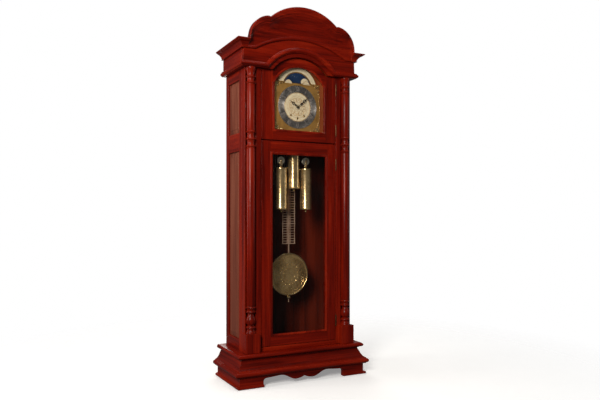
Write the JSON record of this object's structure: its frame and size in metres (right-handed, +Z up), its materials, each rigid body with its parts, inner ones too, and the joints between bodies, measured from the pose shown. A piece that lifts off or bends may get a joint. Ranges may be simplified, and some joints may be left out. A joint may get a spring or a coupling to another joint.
{
  "type": "grandfather clock",
  "caption": "Tall glazed longcase clock with arched hood, moon dial, brass weights on cables, gridiron pendulum and moulded mahogany case.",
  "frame": {"origin": "on the floor under the middle of the clock's box", "axes": "+Z up, the front faces -Y, +X to the right as seen by someone facing the clock"},
  "size_m": [0.876, 0.396, 2.2],
  "materials": {
    "mahogany": "gloss lacquer over red-stained mahogany",
    "panel_wood": "gloss lacquer over brown-red veneer",
    "inner_wood": "satin stain",
    "glass": "clear polished",
    "hinge_brass": "satin",
    "dial_brass": "brushed",
    "chapter_ring": "dark satin",
    "moon_disc": "satin paint",
    "hands": "blackened",
    "movement_brass": "lacquered",
    "steel": "bright drawn",
    "polished_brass": "polished"
  },
  "bodies": {
    "case": {"back_panel": "inner_wood", "base_apron_front": "mahogany", "base_apron_left": "mahogany", "base_apron_right": "mahogany", "base_moulding": "mahogany", "bottom_board": "inner_wood", "bottom_rail": "mahogany", "cable_left": "steel", "cable_middle": "steel", "cable_right": "steel", "chapter_ring": "chapter_ring", "chime_rods": "steel", "column_left": "mahogany", "column_right": "mahogany", "corner_post_left": "mahogany", "corner_post_right": "mahogany", "crown_moulding": "mahogany", "dial_hinge_lower": "hinge_brass", "dial_hinge_upper": "hinge_brass", "dial_plate": "dial_brass", "dial_surround": "mahogany", "frieze_left": "mahogany", "frieze_right": "mahogany", "hood_moulding": "mahogany", "movement_back_plate": "movement_brass", "movement_front_plate": "movement_brass", "pediment_board": "mahogany", "seat_board": "inner_wood", "side_frame_left": "mahogany", "side_frame_right": "mahogany", "side_panel_left": "panel_wood", "side_panel_right": "panel_wood", "top_board": "inner_wood", "trunk_hinge_lower": "hinge_brass", "trunk_hinge_upper": "hinge_brass", "waist_rail": "mahogany"},
    "dial_door": {"dial_door_frame": "mahogany", "dial_door_glass": "glass"},
    "trunk_door": {"trunk_door_frame": "mahogany", "trunk_door_glass": "glass"},
    "minute_hand": {"minute_hand": "hands"},
    "hour_hand": {"hour_hand": "hands"},
    "moon_disc": {"moon_disc": "moon_disc"},
    "escape_wheel": {"escape_wheel": "movement_brass"},
    "anchor": {"anchor": "steel"},
    "pendulum": {"pendulum_rod": "polished_brass"},
    "pendulum_bob": {"pendulum_bob": "polished_brass"},
    "rating_nut": {"rating_nut": "polished_brass"},
    "access_panel_left": {"access_panel_left": "panel_wood"},
    "access_panel_right": {"access_panel_right": "panel_wood"},
    "weight_left": {"weight_left": "polished_brass"},
    "pulley_left": {"pulley_left": "polished_brass"},
    "winding_drum_left": {"winding_drum_left": "movement_brass"},
    "weight_middle": {"weight_middle": "polished_brass"},
    "pulley_middle": {"pulley_middle": "polished_brass"},
    "winding_drum_middle": {"winding_drum_middle": "movement_brass"},
    "weight_right": {"weight_right": "polished_brass"},
    "pulley_right": {"pulley_right": "polished_brass"},
    "winding_drum_right": {"winding_drum_right": "movement_brass"}
  },
  "joints": [
    {"name": "dial_door_hinge", "type": "hinge", "parent": "case", "child": "dial_door", "pos_m": [0.2485, -0.1157, 1.62], "axis": [0, 0, 1], "range_deg": [0, 110]},
    {"name": "trunk_door_hinge", "type": "hinge", "parent": "case", "child": "trunk_door", "pos_m": [0.2485, -0.1157, 0.81], "axis": [0, 0, 1], "range_deg": [0, 110]},
    {"name": "minute_hand_turn", "type": "hinge", "parent": "case", "child": "minute_hand", "pos_m": [0, -0.08, 1.63], "axis": [0, 1, 0], "continuous": true},
    {"name": "hour_hand_turn", "type": "hinge", "parent": "case", "child": "hour_hand", "pos_m": [0, -0.08, 1.63], "axis": [0, 1, 0], "continuous": true},
    {"name": "moon_disc_turn", "type": "hinge", "parent": "case", "child": "moon_disc", "pos_m": [0, -0.079, 1.742], "axis": [0, 1, 0], "continuous": true},
    {"name": "escape_wheel_turn", "type": "hinge", "parent": "case", "child": "escape_wheel", "pos_m": [0, 0.02, 1.668], "axis": [0, 1, 0], "continuous": true},
    {"name": "pendulum_swing", "type": "hinge", "parent": "case", "child": "pendulum", "pos_m": [0, 0.04, 1.698], "axis": [0, 1, 0], "range_deg": [-3, 3]},
    {"name": "anchor_rock", "type": "hinge", "parent": "case", "child": "anchor", "pos_m": [0, 0.025, 1.698], "axis": [0, 1, 0], "range_deg": [-3, 3]},
    {"name": "bob_height", "type": "slide", "parent": "pendulum", "child": "pendulum_bob", "axis": [0, 0, 1], "range_m": [-0.003, 0.003]},
    {"name": "rating_nut_turn", "type": "hinge", "parent": "pendulum_bob", "child": "rating_nut", "pos_m": [0, 0.04, 0.47], "axis": [0, 0, 1], "range_deg": [-1081, 1081]},
    {"name": "access_panel_left_out", "type": "slide", "parent": "case", "child": "access_panel_left", "axis": [-1, 0, 0], "range_m": [0, 0.12]},
    {"name": "access_panel_right_out", "type": "slide", "parent": "case", "child": "access_panel_right", "axis": [1, 0, 0], "range_m": [0, 0.12]},
    {"name": "weight_left_fall", "type": "slide", "parent": "case", "child": "weight_left", "axis": [0, 0, 1], "range_m": [-0.76, 0.15], "deforming": ["cable_left"]},
    {"name": "pulley_left_turn", "type": "hinge", "parent": "weight_left", "child": "pulley_left", "pos_m": [-0.084, -0.028, 1.31], "axis": [0, 1, 0], "range_deg": [-2178.2, 430.7]},
    {"name": "winding_drum_left_turn", "type": "hinge", "parent": "case", "child": "winding_drum_left", "pos_m": [-0.084, -0.028, 1.58], "axis": [0, 1, 0], "range_deg": [-4355.5, 860.4]},
    {"name": "weight_middle_fall", "type": "slide", "parent": "case", "child": "weight_middle", "axis": [0, 0, 1], "range_m": [-0.886, 0.025], "deforming": ["cable_middle"]},
    {"name": "pulley_middle_turn", "type": "hinge", "parent": "weight_middle", "child": "pulley_middle", "pos_m": [0, -0.028, 1.436], "axis": [0, 1, 0], "range_deg": [-2539.2, 72.6]},
    {"name": "winding_drum_middle_turn", "type": "hinge", "parent": "case", "child": "winding_drum_middle", "pos_m": [0, -0.028, 1.58], "axis": [0, 1, 0], "range_deg": [-5077.4, 144.2]},
    {"name": "weight_right_fall", "type": "slide", "parent": "case", "child": "weight_right", "axis": [0, 0, 1], "range_m": [-0.76, 0.15], "deforming": ["cable_right"]},
    {"name": "pulley_right_turn", "type": "hinge", "parent": "weight_right", "child": "pulley_right", "pos_m": [0.084, -0.028, 1.31], "axis": [0, 1, 0], "range_deg": [-2178.2, 430.7]},
    {"name": "winding_drum_right_turn", "type": "hinge", "parent": "case", "child": "winding_drum_right", "pos_m": [0.084, -0.028, 1.58], "axis": [0, 1, 0], "range_deg": [-4355.5, 860.4]}
  ],
  "couplings": [
    {"joint": "hour_hand_turn", "follows": "minute_hand_turn", "ratio": 0.083333},
    {"joint": "moon_disc_turn", "follows": "minute_hand_turn", "ratio": 0.00070621},
    {"joint": "escape_wheel_turn", "follows": "minute_hand_turn", "ratio": 60},
    {"joint": "anchor_rock", "follows": "pendulum_swing", "ratio": 1},
    {"joint": "rating_nut_turn", "follows": "bob_height", "rad_per_m": 6283.2},
    {"joint": "pulley_left_turn", "follows": "weight_left_fall", "rad_per_m": 50},
    {"joint": "winding_drum_left_turn", "follows": "weight_left_fall", "rad_per_m": 100},
    {"joint": "pulley_middle_turn", "follows": "weight_middle_fall", "rad_per_m": 50},
    {"joint": "winding_drum_middle_turn", "follows": "weight_middle_fall", "rad_per_m": 100},
    {"joint": "pulley_right_turn", "follows": "weight_right_fall", "rad_per_m": 50},
    {"joint": "winding_drum_right_turn", "follows": "weight_right_fall", "rad_per_m": 100}
  ]
}
